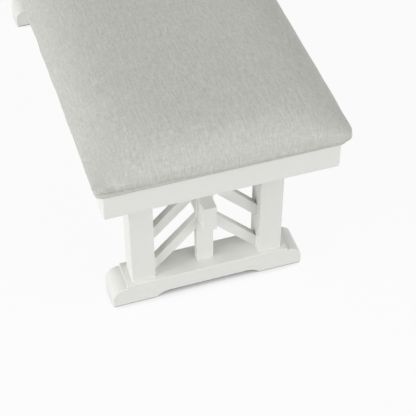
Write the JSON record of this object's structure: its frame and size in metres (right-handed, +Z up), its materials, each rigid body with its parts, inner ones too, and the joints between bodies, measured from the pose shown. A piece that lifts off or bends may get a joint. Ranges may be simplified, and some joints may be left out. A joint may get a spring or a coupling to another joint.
{
  "type": "upholstered bench",
  "caption": "Upholstered trestle bench: a padded linen seat on a painted apron frame, with shaped feet, square posts, chevron slats and a tenoned stretcher.",
  "frame": {"origin": "on the floor under the middle of the seat", "axes": "+X along the bench to its right end, +Y to its rear, +Z up"},
  "size_m": [1.22, 0.478, 0.483],
  "materials": {
    "upholstery_linen": "matte",
    "foam": "matte",
    "plywood": "matte",
    "dust_cloth": "matte",
    "painted_wood": "satin",
    "bare_wood": "matte",
    "dowel_wood": "matte",
    "zinc_steel": "satin",
    "nylon": "satin"
  },
  "bodies": {
    "root": {"bearer_dowels": "dowel_wood", "bolt_washers": "zinc_steel", "centre_bearer": "bare_wood", "corner_block_screws": "zinc_steel", "dust_cover": "dust_cloth", "floor_glides": "nylon", "front_rail": "painted_wood", "left_end_rail": "painted_wood", "left_foot": "painted_wood", "left_front_corner_block": "bare_wood", "left_front_lower_slat": "painted_wood", "left_front_middle_slat": "painted_wood", "left_front_post": "painted_wood", "left_front_upper_slat": "painted_wood", "left_mullion": "painted_wood", "left_rear_corner_block": "bare_wood", "left_rear_lower_slat": "painted_wood", "left_rear_middle_slat": "painted_wood", "left_rear_post": "painted_wood", "left_rear_upper_slat": "painted_wood", "left_stretcher_block": "painted_wood", "left_top_rail": "painted_wood", "mullion_dowels": "dowel_wood", "post_dowels": "dowel_wood", "rear_rail": "painted_wood", "right_end_rail": "painted_wood", "right_foot": "painted_wood", "right_front_corner_block": "bare_wood", "right_front_lower_slat": "painted_wood", "right_front_middle_slat": "painted_wood", "right_front_post": "painted_wood", "right_front_upper_slat": "painted_wood", "right_mullion": "painted_wood", "right_rear_corner_block": "bare_wood", "right_rear_lower_slat": "painted_wood", "right_rear_middle_slat": "painted_wood", "right_rear_post": "painted_wood", "right_rear_upper_slat": "painted_wood", "right_stretcher_block": "painted_wood", "right_top_rail": "painted_wood", "seat_board": "plywood", "seat_bolts": "zinc_steel", "seat_cover": "upholstery_linen", "seat_foam": "foam", "slat_dowels": "dowel_wood", "stretcher": "painted_wood", "tee_nuts": "zinc_steel", "tenon_pins": "dowel_wood"}
  },
  "joints": []
}
